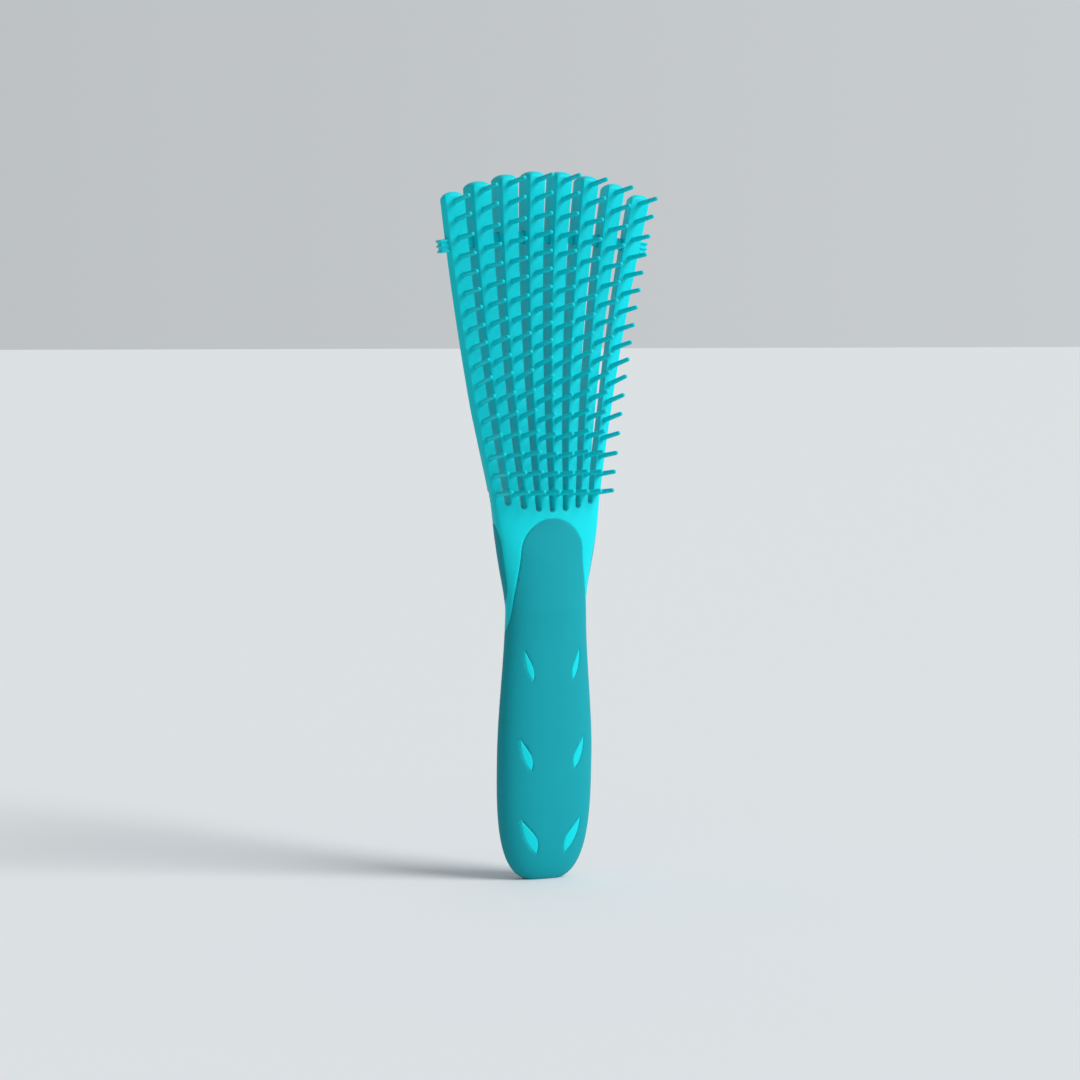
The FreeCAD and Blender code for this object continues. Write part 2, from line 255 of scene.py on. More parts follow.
def distance_to(places, edges):
    """Each place's distance to the nearest of some edges."""
    nearest = np.full(len(places), np.inf)
    for a, b in edges:
        along = b - a
        share = np.clip((places - a) @ along / (along @ along), 0, 1)
        nearest = np.minimum(nearest, np.linalg.norm(places - a - share[:, None] * along, axis=1))
    return nearest


def inside(places, edges):
    """Which places lie inside the closed loops that the edges make."""
    crossings = np.zeros(len(places), int)
    for a, b in edges:
        if a[1] != b[1]:
            spans = (a[1] > places[:, 1]) != (b[1] > places[:, 1])
            x = a[0] + (places[:, 1] - a[1]) / (b[1] - a[1]) * (b[0] - a[0])
            crossings += spans & (places[:, 0] < x)
    return crossings % 2 == 1


LIP_TURNS = (radians(60), radians(30), 0)
RING_CLEAR = 0.95         # a lip's ring keeps at least this share of its inset from every edge
EDGE_CLEAR = 0.5          # the even rows keep this share of their spacing from the edges
LIP_CLEAR = 0.35          # and this share of it from the lips


class Patch:
    """A piece of the flat sheet, cut to loops and divided into even triangles.
    A loop is a list of runs, and a run is its points and the radius of the rounded lip at that edge."""

    def __init__(self, loops, spacing):
        self.runs = []
        corners = []
        links = []
        radii = []
        for loop in loops:
            first = len(corners)
            for points, radius in loop:
                self.runs.append(list(range(len(corners), len(corners) + len(points))))
                corners += [np.array(p, float) for p in points]
                radii += [radius] * (len(points) - 1) + [radius if len(loop) == 1 else 0]
            links += [(i, i + 1 if i + 1 < len(corners) else first) for i in range(first, len(corners))]
        self.edges = [(corners[i], corners[j]) for i, j in links]
        self.lips = {lip: [] for lip in radii if lip > 0}
        for edge, lip in zip(self.edges, radii):
            if lip > 0:
                self.lips[lip].append(edge)
        places = np.concatenate([np.array(corners), self.lip_rings(), self.grid(spacing)])
        found = delaunay_2d_cdt([Vector(p) for p in places], links, [], 0, HAIR)
        self.places = np.array([tuple(p) for p in found[0]])
        triangles = np.array([tuple(f) for f in found[2]])
        keep = inside(self.places[triangles].mean(axis=1), self.edges)
        self.faces = [tuple(int(i) for i in f) for f in triangles[keep]]
        self.index = {old: new for new, olds in enumerate(found[3]) for old in olds}

    def lip_rings(self):
        """Places along the lipped edges where the lip turns over."""
        rings = [np.zeros((0, 2))]
        for lip, edges in self.lips.items():
            for turn in LIP_TURNS:
                inset = lip * (1 - sin(turn))
                ring = []
                for a, b in edges:
                    along = (b - a) / np.linalg.norm(b - a)
                    inward = np.array([-along[1], along[0]])
                    ring += [(a + b) / 2 + inward * inset, (a + b) / 2 - inward * inset]
                ring = np.array(ring)
                clear = distance_to(ring, edges) > RING_CLEAR * inset
                rings.append(ring[inside(ring, self.edges) & clear])
        return np.concatenate(rings)

    def grid(self, spacing):
        """Places in even rows, clear of the edges."""
        low = np.min([a for a, b in self.edges], axis=0)
        high = np.max([a for a, b in self.edges], axis=0)
        rows = []
        height = spacing * 3**0.5 / 2
        for row in range(int((high[1] - low[1]) / height) + 1):
            across = np.arange(low[0] + (row % 2) * spacing / 2, high[0], spacing)
            rows.append(np.stack([across, np.full(len(across), low[1] + row * height)], axis=1))
        places = np.concatenate(rows)
        places = places[inside(places, self.edges)]
        places = places[distance_to(places, self.edges) > EDGE_CLEAR * spacing]
        for lip, edges in self.lips.items():
            places = places[distance_to(places, edges) > lip + LIP_CLEAR * spacing]
        return places

    def points(self, sink=0.0):
        """The patch on the surface, with its lips turned over."""
        fall = np.zeros(len(self.places))
        for lip, edges in self.lips.items():
            near = np.clip(lip - distance_to(self.places, edges), 0, None)
            fall += lip - np.sqrt(np.clip(lip**2 - near**2, 0, None))
        return skin(self.places, fall + sink)

    def run(self, number):
        return [self.index[i] for i in self.runs[number]]


WELD = 2e-6               # points nearer than this become one
SLIVER = 1e-7             # edges shorter than this go
SHARP_ANGLE = radians(42)


def mesh_object(name, points, faces):
    """A smooth object of these points and faces, with its seams welded and its faces turned outwards."""
    mesh = bpy.data.meshes.new(name)
    mesh.from_pydata([tuple(map(float, p)) for p in points], [], faces)
    work = bmesh.new()
    work.from_mesh(mesh)
    bmesh.ops.remove_doubles(work, verts=work.verts, dist=WELD)
    bmesh.ops.dissolve_degenerate(work, edges=work.edges, dist=SLIVER)
    bmesh.ops.recalc_face_normals(work, faces=work.faces)
    work.to_mesh(mesh)
    work.free()
    made = bpy.data.objects.new(name, mesh)
    bpy.context.scene.collection.objects.link(made)
    smooth(made)
    return made


def smooth(made):
    """Shade the object smooth, apart from its sharp edges."""
    made.data.polygons.foreach_set("use_smooth", [True] * len(made.data.polygons))
    made.data.set_sharp_from_angle(angle=SHARP_ANGLE)


class HalfMesh:
    """Points and faces of the right half of a piece, which is mirrored when it is made an object."""

    def __init__(self):
        self.points = []
        self.faces = []

    def add(self, points, faces=()):
        first = len(self.points)
        self.points += [tuple(p) for p in points]
        self.faces += [tuple(first + i for i in f) for f in faces]
        return first

    def wall(self, one, other):
        """Faces between two rows of points."""
        for i in range(len(one) - 1):
            self.faces.append((one[i], one[i + 1], other[i + 1], other[i]))

    def object(self, name):
        count = len(self.points)
        points = self.points + [(-x, y, z) for x, y, z in self.points]
        faces = self.faces + [tuple(count + i for i in reversed(f)) for f in self.faces]
        return mesh_object(name, points, faces)


# The seam: an arch on the neck's front that flares out at its feet and runs level round the back.
# Distances are measured round from the middle of the front.
ARCH_RADIUS = 0.0115
ARCH_H = 0.1113
SIDE_FOOT = (0.0152, 0.0905)
FLARE_END = (0.0240, 0.0822)
SIDE_PULLS = ((0.0121, 0.1045), (0.0142, 0.0965))
FLARE_PULLS = ((0.0163, 0.0864), (0.0190, 0.0826))
SEAM_LIP = 0.00012        # radius of the rounded edges at the seams
EDGE_STEP = 0.0008
ARCH_STEPS = 24
SIDE_POINTS = 28
FLARE_POINTS = 18


def curve(start, pulls, end, count):
    """A smooth curve between two points, drawn towards two others."""
    knots = [Vector((p[0], p[1], 0)) for p in (start, *pulls, end)]
    return [(p.x, p.y) for p in interpolate_bezier(*knots, count)]


def seam_run():
    """The seam from the middle of the front to that of the back."""
    points = []
    for step in range(ARCH_STEPS + 1):
        turn = pi / 2 * (1 - step / ARCH_STEPS)
        points.append((ARCH_RADIUS * cos(turn), ARCH_H + ARCH_RADIUS * sin(turn)))
    points += curve((ARCH_RADIUS, ARCH_H), SIDE_PULLS, SIDE_FOOT, SIDE_POINTS)[1:]
    points += curve(SIDE_FOOT, FLARE_PULLS, FLARE_END, FLARE_POINTS)[1:]
    places = [on_sheet(*p) for p in points]
    places[0] = (0.0, places[0][1])
    start = places[-1][0]
    count = int((GIRTH - start) / EDGE_STEP)
    return places + [(start + (GIRTH - start) * (i + 1) / count, FLARE_END[1]) for i in range(count)]


# The thumb pad's outline on the back, a squarish oval that reaches round both sides.
PAD_H = 0.1084
PAD_HALF_HEIGHT = 0.0160
PAD_REACH = 0.555         # share of the half girth, from the middle of the back
PAD_POWER = 4.5           # squareness of the oval
PAD_STEPS = 72


def pad_run():
    """The pad's edge from the top of its middle line to the bottom."""
    places = []
    for step in range(PAD_STEPS + 1):
        turn = pi / 2 - pi * step / PAD_STEPS
        size = (abs(cos(turn)) ** PAD_POWER + abs(sin(turn)) ** PAD_POWER) ** (1 / PAD_POWER)
        reach = PAD_REACH * max(cos(turn), 0) / size
        places.append(((1 - reach) * GIRTH, PAD_H + PAD_HALF_HEIGHT * sin(turn) / size))
    places[0] = (GIRTH, PAD_H + PAD_HALF_HEIGHT)
    places[-1] = (GIRTH, PAD_H - PAD_HALF_HEIGHT)
    return places


# The leaves: foot and tip of each on the right side, and how far it swells inwards and outwards.
LEAVES = (
    ((0.0075, 0.0681), (0.0104, 0.0786), 0.0013, 0.0010),
    ((0.0080, 0.0378), (0.0120, 0.0487), 0.0017, 0.0013),
    ((0.0052, 0.0093), (0.0113, 0.0212), 0.0022, 0.0015),
)
LEAF_SHOULDER = 0.36      # the inner corner's share of the way from foot to tip
LEAF_BELLY = 0.45         # and that of the fullest place of its outer side
TIP_PULL = 0.35           # how far the inner side runs straight from the tip, of the way to the corner
CORNER_PULLS = (0.15, 0.08)       # how far the corner is rounded above and below, of the leaf's length
FOOT_PULL = (0.12, 0.75)  # the inner side's roundness at the foot, of the length and of its swell
BELLY_PULL = 0.18         # the outer side's roundness, of the length
LEAF_POINTS = (12, 9, 16)         # of the inner side above and below its corner, and of the outer side


def leaf_loop(foot, tip, inner, outer):
    """A blade with a pointed tip, a corner on its inner side and a full outer side."""
    low = np.array(foot)
    high = np.array(tip)
    way = high - low
    inwards = np.array([-way[1], way[0]]) / np.linalg.norm(way)
    shoulder = low + way * LEAF_SHOULDER + inwards * inner
    belly = low + way * LEAF_BELLY - inwards * outer * 4 / 3
    above = (high + TIP_PULL * (shoulder - high), shoulder + CORNER_PULLS[0] * way)
    heel = low + FOOT_PULL[0] * way + inwards * inner * FOOT_PULL[1]
    below = (shoulder - CORNER_PULLS[1] * way, heel)
    outside = (belly - BELLY_PULL * way, belly + BELLY_PULL * way)
    points = curve(high, above, shoulder, LEAF_POINTS[0])[:-1]
    points += curve(shoulder, below, low, LEAF_POINTS[1])[:-1]
    points += curve(low, outside, high, LEAF_POINTS[2])[:-1]
    return [on_sheet(*p) for p in points]


# The slots between the ribs, with round ends that lie lower towards the middle.
SLOT_END = 0.1080         # of the middle slot, from the apex
SLOT_LIP = 0.00035
SLOT_RISE = 0.00038       # how much higher a slot ends, times its place squared
SLOT_STEPS = 6            # round half of a slot's end, and from there up its wall


def slot_half_angle(radius):
    return RIB_ANGLE / 2 - asin(along_rib(radius, RIB_WIDTHS) / 2 / radius)


def slot_wall(place):
    """Angles from the slot's middle and distances from the apex, from its end up one wall."""
    end = SLOT_END + SLOT_RISE * place**2
    round_half = end * slot_half_angle(end)
    points = []
    for step in range(SLOT_STEPS + 1):
        turn = pi / 2 * step / SLOT_STEPS
        radius = end + round_half * (1 - cos(turn))
        points.append((slot_half_angle(radius) * sin(turn), radius))
    low = end + round_half
    for step in range(1, SLOT_STEPS + 1):
        radius = low + (ROOT_RADIUS - low) * step / SLOT_STEPS
        points.append((slot_half_angle(radius), radius))
    return points


def fan_place(angle, radius, side):
    """A place on the sheet at an angle of the fan, on the front or the back."""
    h = radius + APEX_Z
    level = np.array([h])
    widest = section(np.array([0.0]), level)[0, 0]
    power = float(squareness(level)[0])
    across = radius * sin(angle) / widest
    turn = np.arctan2(side * (1 - across**power) ** (1 / power), across)
    return (float(look_up(SHARE_TABLE, [(turn + pi / 2) / pi], level)[0]) * GIRTH, h)


def slot_run(place, side):
    """A whole slot's edge from its wall nearer the middle, round its end, to its outer wall."""
    wall = slot_wall(place)
    inner = [(place * RIB_ANGLE - angle, radius) for angle, radius in reversed(wall[1:])]
    outer = [(place * RIB_ANGLE + angle, radius) for angle, radius in wall]
    if place == 0:
        inner = []
    return [fan_place(angle, radius, side) for angle, radius in inner + outer]


def between(start, end, count):
    """Points on a straight line, without its ends."""
    a = np.array(start)
    b = np.array(end)
    return [tuple(a + (b - a) * i / count) for i in range(1, count)]


HALF_SLOTS = 4            # slots of one half, with the middle one
STUB_STEPS = 5            # divisions across a stub's top
SIDE_STEPS = 22           # and round the outer stub's
MIDDLE_STEPS = (6, 3, 10)         # on the middle line: up the front, above the pad and below it
FRONT_SLOT_RUNS = (1, 3, 5, 7)    # numbers of the runs in the neck's outline
BACK_SLOT_RUNS = (15, 13, 11, 9)
PAD_RUN = 17
SEAM_RUN = 19


def neck_loop():
    """The outline of the neck's skin: up its front, along the stubs, down its back and round the seam."""
    seam = seam_run()
    pad = pad_run()
    fronts = [slot_run(place, -1) for place in range(HALF_SLOTS)]
    backs = [list(reversed(slot_run(place, 1))) for place in range(HALF_SLOTS)]
    runs = [(between(seam[0], fronts[0][0], MIDDLE_STEPS[0]), 0)]
    for place, front in enumerate(fronts):
        runs.append((front, SLOT_LIP))
        if place < HALF_SLOTS - 1:
            runs.append((between(front[-1], fronts[place + 1][0], STUB_STEPS), 0))
    runs.append((between(fronts[-1][-1], backs[-1][0], SIDE_STEPS), 0))
    for place in reversed(range(HALF_SLOTS)):
        runs.append((backs[place], SLOT_LIP))
        if place > 0:
            runs.append((between(backs[place][-1], backs[place - 1][0], STUB_STEPS), 0))
    runs.append((between(backs[0][-1], pad[0], MIDDLE_STEPS[1]), 0))
    runs.append((pad, SEAM_LIP))
    runs.append((between(pad[-1], seam[-1], MIDDLE_STEPS[2]), 0))
    runs.append((list(reversed(seam)), SEAM_LIP))
    return runs


BUTT_H = 0.006            # below this the handle is closed in rings
BUTT_COLUMNS = 44
BUTT_RINGS = 9
CAP_RINGS = 3             # across the flat end
SLEEVE_STEPS = (70, 110)  # divisions of the sleeve's middle line, at the back and the front
SLEEVE_RUNS = 4           # runs in the sleeve's outline, before those of its windows
PAD_LINE_STEPS = 24       # divisions of the pad's middle line
SOFT_WALL = 0.0018        # depth of the tang below the outer surface
SKIN_STEP = 0.0009        # spacing of the points of a skin that shows
TANG_STEP = 0.0030        # and of one that is covered


def sleeve_loops(lip):
    """The outline of the sleeve's skin, from the seam down the back and up the front, and its windows."""
    seam = seam_run()
    bottom = [(GIRTH * (1 - i / BUTT_COLUMNS), BUTT_H) for i in range(BUTT_COLUMNS + 1)]
    outline = [(seam, lip), (between(seam[-1], bottom[0], SLEEVE_STEPS[0]), 0)]
    outline += [(bottom, 0), (between(bottom[-1], seam[0], SLEEVE_STEPS[1]), 0)]
    return [outline] + [[(leaf_loop(*leaf), lip)] for leaf in LEAVES]


def pad_loop(lip):
    pad = pad_run()
    return [(list(reversed(pad)), lip), (between(pad[0], pad[-1], PAD_LINE_STEPS), 0)]


def add_butt(half, sink):
    """The rounded butt, in rings from the sleeve's lowest row down to the flat end and across it."""
    rows = []
    for ring in range(BUTT_RINGS):
        h = BUTT_H * (1 - ring / (BUTT_RINGS - 1)) ** 2
        places = np.array([(GIRTH * i / BUTT_COLUMNS, h) for i in range(BUTT_COLUMNS + 1)])
        rows.append(skin(places, sink))
    rim = rows[-1]
    middle = np.array([0, rim[:, 1].mean(), rim[:, 2].min()])
    for ring in range(1, CAP_RINGS + 1):
        flat = middle + (rim - middle) * (1 - ring / (CAP_RINGS + 1))
        flat[:, 2] = middle[2]
        rows.append(flat)
    firsts = [half.add(row) for row in rows]
    numbers = [[first + i for i in range(BUTT_COLUMNS + 1)] for first in firsts]
    for upper, lower in zip(numbers, numbers[1:]):
        half.wall(lower, upper)
    pole = half.add([middle])
    for i in range(BUTT_COLUMNS):
        half.faces.append((pole, numbers[-1][i + 1], numbers[-1][i]))


def close_holes(made):
    """Close the open ends of a mesh with flat faces."""
    work = bmesh.new()
    work.from_mesh(made.data)
    open_edges = [edge for edge in work.edges if edge.is_boundary]
    bmesh.ops.holes_fill(work, edges=open_edges, sides=0)
    bmesh.ops.recalc_face_normals(work, faces=work.faces)
    work.to_mesh(made.data)
    work.free()
    smooth(made)


def moulded_core():
    """The neck's skin, the tang and the pad's seat below the soft layers, and the walls between them."""
    half = HalfMesh()
    neck = Patch([neck_loop()], SKIN_STEP)
    top = half.add(neck.points(), neck.faces)
    under_sleeve = Patch(sleeve_loops(0), TANG_STEP)
    tang = half.add(under_sleeve.points(SOFT_WALL), under_sleeve.faces)
    under_pad = Patch([pad_loop(0)], TANG_STEP)
    seat = half.add(under_pad.points(SOFT_WALL), under_pad.faces)
    for front, back in zip(FRONT_SLOT_RUNS, BACK_SLOT_RUNS):
        half.wall([top + i for i in neck.run(front)], [top + i for i in reversed(neck.run(back))])
    half.wall([top + i for i in neck.run(SEAM_RUN)], [tang + i for i in reversed(under_sleeve.run(0))])
    half.wall([top + i for i in neck.run(PAD_RUN)], [seat + i for i in reversed(under_pad.run(0))])
    for number, leaf in enumerate(LEAVES):
        pad = Patch([[(leaf_loop(*leaf), SEAM_LIP)]], SKIN_STEP / 2)
        first = half.add(pad.points(), pad.faces)
        rim = [first + i for i in pad.run(0)]
        foot = [tang + i for i in under_sleeve.run(SLEEVE_RUNS + number)]
        half.wall(rim + rim[:1], foot + foot[:1])
    add_butt(half, SOFT_WALL)
    made = half.object("moulded_core")
    close_holes(made)
    return made


def nodes_of(owner):
    owner.use_nodes = True
    return owner.node_tree


def add_node(tree, kind, inputs=None, **settings):
    """A node with its inputs, by name or number, linked to another's output or set to a value."""
    made = tree.nodes.new(kind)
    for name, value in settings.items():
        setattr(made, name, value)
    for name, value in (inputs or {}).items():
        if isinstance(value, bpy.types.NodeSocket):
            tree.links.new(value, made.inputs[name])
        else:
            made.inputs[name].default_value = value
    return made


DRIFT_SCALE = 38.0        # of the slow drift of colour and gloss, per metre
DRIFT_DETAIL = 3.0
GRAIN_DETAIL = 2.0


def moulded_plastic(name, colour, deep_colour, roughness, grain, refraction, shine):
    """A coloured plastic with a faint drift of colour and of gloss, and a fine moulded grain.
    The grain is its scale, its strength and its height."""
    material = bpy.data.materials.new(name)
    tree = nodes_of(material)
    place = add_node(tree, "ShaderNodeTexCoord").outputs["Object"]
    drift = add_node(tree, "ShaderNodeTexNoise", {"Vector": place, "Scale": DRIFT_SCALE})
    drift.inputs["Detail"].default_value = DRIFT_DETAIL
    mix = add_node(tree, "ShaderNodeMix", {"Factor": drift.outputs["Fac"]}, data_type="RGBA")
    mix.inputs["A"].default_value = colour
    mix.inputs["B"].default_value = deep_colour
    fine = add_node(tree, "ShaderNodeTexNoise", {"Vector": place, "Scale": grain[0]})
    fine.inputs["Detail"].default_value = GRAIN_DETAIL
    gloss = add_node(tree, "ShaderNodeMapRange", {"Value": drift.outputs["Fac"]})
    gloss.inputs["To Min"].default_value = roughness[0]
    gloss.inputs["To Max"].default_value = roughness[1]
    bump = add_node(tree, "ShaderNodeBump", {"Height": fine.outputs["Fac"]})
    bump.inputs["Strength"].default_value = grain[1]
    bump.inputs["Distance"].default_value = grain[2]
    shader = tree.nodes["Principled BSDF"]
    shader.inputs["IOR"].default_value = refraction
    shader.inputs["Specular IOR Level"].default_value = shine
    tree.links.new(mix.outputs["Result"], shader.inputs["Base Color"])
    tree.links.new(gloss.outputs["Result"], shader.inputs["Roughness"])
    tree.links.new(bump.outputs["Normal"], shader.inputs["Normal"])
    return material


turquoise_plastic = moulded_plastic(
    "turquoise_plastic",
    colour=(0.007, 0.66, 0.72, 1),
    deep_colour=(0.006, 0.61, 0.67, 1),
    roughness=(0.34, 0.44),
    grain=(900.0, 0.05, 0.0002),
    refraction=1.46,
    shine=0.09,
)

core = moulded_core()
core.data.materials.append(turquoise_plastic)
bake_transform(core)
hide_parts("handle_core")


# Soft sleeve
# A matte, darker teal layer moulded over the tang, flush with the neck and the leaf pads at its seams.
# It is closed round the butt and open at the top, where it ends in the arch on the neck's front.

SOFT_THICK = 0.0016       # a little less than the tang's depth, so that the two stay apart


def applied(made):
    """Take up the object's modifiers into its mesh."""
    bpy.context.view_layer.update()
    shown = made.evaluated_get(bpy.context.evaluated_depsgraph_get())
    mesh = bpy.data.meshes.new_from_object(shown)
    made.modifiers.clear()
    old = made.data
    made.data = mesh
    bpy.data.meshes.remove(old)
    mesh.name = made.name
    return made


def soft_layer(name, loops, with_butt):
    """A skin inside these loops, with the rounded butt below it or not, thickened inwards."""
    half = HalfMesh()
    outside = Patch(loops, SKIN_STEP)
    half.add(outside.points(), outside.faces)
    if with_butt:
        add_butt(half, 0.0)
    made = half.object(name)
    wall = made.modifiers.new("wall", "SOLIDIFY")
    wall.thickness = SOFT_THICK
    wall.offset = -1
    applied(made)
    smooth(made)
    return made


soft_grip = moulded_plastic(
    "soft_grip",
    colour=(0.0045, 0.33, 0.385, 1),
    deep_colour=(0.004, 0.30, 0.355, 1),
    roughness=(0.52, 0.62),
    grain=(2600.0, 0.2, 0.0002),
    refraction=1.45,
    shine=0.15,
)
sleeve = soft_layer("soft_sleeve", sleeve_loops(SEAM_LIP), with_butt=True)
sleeve.data.materials.append(soft_grip)
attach(sleeve, "handle")
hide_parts("grip_sleeve")


# Thumb pad
# The same soft layer, moulded into a seat on the back of the neck. It wraps round both sides, so that a
# sliver of it shows from the front.

pad = soft_layer("rear_pad", [pad_loop(SEAM_LIP)], with_butt=False)
pad.data.materials.append(soft_grip)
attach(pad, "handle")
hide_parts("thumb_pad")


# Ribs
# Eight bars of the same moulding as the neck, wider and deeper towards their rounded tips, with faces
# that are hollow along their length. The outer ones are wider, thinner and turned outwards. A window near
# the tip lets the tie strip through.

TIP_DROP = 0.000380       # how much shorter a rib is, times its place from the middle squared
TIP_ROUND = 0.0021        # height of the rounded tip
EDGE_RADIUS = 0.00035
RIB_RINGS = 44
TIP_RINGS = 6
TIP_TURN = radians(80)    # the rounded tip turns over by this much, and a point closes it
TIP_FULLNESS = 0.8        # under 1, the tip is fuller than a half circle
TIP_EDGE = 0.85           # radius of the edges at the tip, of its half width
RIBS = 8
OUTER_WIDER = 0.0014      # the outer ribs are this much wider than the middle ones at their tips
OUTER_THINNER = 0.0028    # and their backs come this far forward there
THINNING = 0.6            # under 1, they do so most near the root
THINNING_POWER = 6        # of the place, so that the inner ribs stay thick
TWIST = 12.0              # how far an outer rib is turned about its own length, degrees
TWIST_LENGTH = 0.028      # it turns over this length from the root
STRIP_RADIUS = 0.2004
STRIP_HEIGHT = 0.0039
STRIP_THICK = 0.0012
STRIP_BEHIND = 0.0046     # from the middle ribs' faces back to the middle of the strip
STRIP_PLAY = 0.0004       # before and behind the strip in a window
STRIP_CLEAR = 0.0002      # above and below it
WINDOW_HALF = 0.0046      # half the length of the block that cuts a window


def place_of(rib):
    return rib - (RIBS + 1) / 2


def rib_top(place):
    return TIP_RADIUS - TIP_DROP * place**2


def in_fan(place, radius, across):
    """A point of the ribs' faces, at a distance along a rib and across it from its middle."""
    angle = place * RIB_ANGLE
    x = radius * sin(angle) + across * cos(angle)
    z = APEX_Z + radius * cos(angle) - across * sin(angle)
    return (x, face_y(radius) + arch(angle + across / radius, radius), z)


def past_root(radius):
    """Share of the way from the ribs' roots to the tips."""
    return (radius - ROOT_RADIUS) / (TIP_RADIUS - ROOT_RADIUS)


def rib_width(place, radius):
    return along_rib(radius, RIB_WIDTHS) + OUTER_WIDER * past_root(radius) * (place / OUTER_PLACE) ** 2


def rib_depth(angle, radius):
    """From the ribs' faces to their backs, at an angle of the fan."""
    outwards = (angle / RIB_ANGLE / OUTER_PLACE) ** THINNING_POWER
    thinner = OUTER_THINNER * past_root(radius) ** THINNING * outwards
    return middle_depth(radius) - arch(angle, radius) - thinner


def in_rib(place, radius, across, deep):
    """A point of a rib, across it from its middle and a share of the way from its face to its back."""
    angle = place * RIB_ANGLE
    turned = min((radius - ROOT_RADIUS) / TWIST_LENGTH, 1)
    twist = tan(radians(TWIST)) * turned * place * abs(place) / OUTER_PLACE**2
    x, _, z = in_fan(place, radius, across + deep * rib_depth(angle, radius) * twist)
    angle += across / radius
    return (x, face_y(radius) + arch(angle, radius) + deep * rib_depth(angle, radius), z)


CORNER_STEPS = 3
FLAT_STEPS = 3


def rounded_box(half, depth, edge):
    """Points round a section with rounded edges: across it, and back from its face."""
    corners = (
        (half - edge, edge, -90),
        (half - edge, depth - edge, 0),
        (-half + edge, depth - edge, 90),
        (-half + edge, edge, 180),
    )
    points = []
    for across, back, start in corners:
        turns = [radians(start + 90 * step / CORNER_STEPS) for step in range(CORNER_STEPS + 1)]
        arc = [(across + edge * cos(turn), back + edge * sin(turn)) for turn in turns]
        if points:
            points += between(points[-1], arc[0], FLAT_STEPS)
        points += arc
    return points + between(points[-1], points[0], FLAT_STEPS)


def rib_sections(place):
    """Distance along the rib, share of its full section and share of roundness, up to its tip."""
    high = rib_top(place) - TIP_ROUND
    for ring in range(RIB_RINGS + 1):
        yield ROOT_RADIUS + (high - ROOT_RADIUS) * ring / RIB_RINGS, 1.0, 0.0
    for ring in range(1, TIP_RINGS + 1):
        turn = TIP_TURN * ring / TIP_RINGS
        yield high + TIP_ROUND * sin(turn), cos(turn) ** TIP_FULLNESS, sin(turn)


def loft(rings, tip=None):
    """Points and faces of a tube through closed rings, with flat or pointed ends."""
    count = len(rings[0])
    points = [p for ring in rings for p in ring]
    faces = [tuple(reversed(range(count)))]
    for row in range(len(rings) - 1):
        for i in range(count):
            j = (i + 1) % count
            low = row * count
            faces.append((low + i, low + j, low + count + j, low + count + i))
    last = (len(rings) - 1) * count
    if tip is None:
        faces.append(tuple(range(last, last + count)))
    else:
        points.append(tip)
        faces += [(last + i, last + (i + 1) % count, len(points) - 1) for i in range(count)]
    return points, faces


def window_cutter(place):
    """A block the size of the tie strip's window, right through a rib."""
    half_depth = STRIP_THICK / 2 + STRIP_PLAY
    half_height = STRIP_HEIGHT / 2 + STRIP_CLEAR
    middle = face_y(STRIP_RADIUS) + STRIP_BEHIND
    rings = []
    for across in (-WINDOW_HALF, WINDOW_HALF):
        ring = []
        for deep, high in ((-1, -1), (1, -1), (1, 1), (-1, 1)):
            x, _, z = in_fan(place, STRIP_RADIUS + high * half_height, across)
            ring.append((x, middle + deep * half_depth, z))
        rings.append(ring)
    return mesh_object("cutter", *loft(rings))


def rib_object(rib):
    """A bar through rounded sections, with its window cut."""
    place = place_of(rib)
    rings = []
    for radius, share, roundness in rib_sections(place):
        half = rib_width(place, radius) / 2 * share
        depth = rib_depth(place * RIB_ANGLE, radius)
        edge = EDGE_RADIUS + (TIP_EDGE * half - EDGE_RADIUS) * roundness
        inset = depth * (1 - share) / 2
        box = rounded_box(half, depth * share, edge)
        rings.append([in_rib(place, radius, across, (back + inset) / depth) for across, back in box])
    tip = in_rib(place, rib_top(place), 0, 0.5)
    made = mesh_object(f"comb_rib_{rib}", *loft(rings, tip))
    cutter = window_cutter(place)
    cut = made.modifiers.new("window", "BOOLEAN")
    cut.object = cutter
    cut.operation = "DIFFERENCE"
    cut.solver = "EXACT"
    applied(made)
    bpy.data.objects.remove(cutter)
    smooth(made)
    return made


def sway_with_rib(made):
    """Bake the piece's placement into its mesh."""
    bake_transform(made)


for rib in range(1, RIBS + 1):
    bar = rib_object(rib)
    bar.data.materials.append(turquoise_plastic)
    sway_with_rib(bar)
    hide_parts(f"rib_{rib}")


# Pins
# Each rib has a row of slim pins moulded with it, tapered and round at the tip, which lean towards the
# rib's tip. Nodes grow one pin and set it on every root of a row.

PIN_PITCH = 0.00635
PIN_ROW_Z = 0.1312
PIN_TIP_MARGIN = 0.0031   # from the top pin to the rib's tip
PIN_LENGTH = 0.0118
PIN_ROOT_D = 0.0018
PIN_TIP_D = 0.0015
PIN_SEAT = 0.0010         # how far a pin reaches into its rib
PIN_RINGS = 8
PIN_SIDES = 10
RING_CROWDING = 2.6       # over 1, the rings stand closer towards the tip
TIP_FLAT = 0.25           # width of the tip's flat end, of the pin's
PIN_SPLAY = 0.2           # outwards, degrees times the rib's place from the middle
TILT_SHARES = (0, 0.12, 0.22, 0.37, 0.52, 0.78, 0.88, 0.95, 1)   # of the way up a row
TILTS = (6, 7.5, 12, 14.5, 10, 5, 5.5, 9, 7.5)                   # of the pins there, degrees


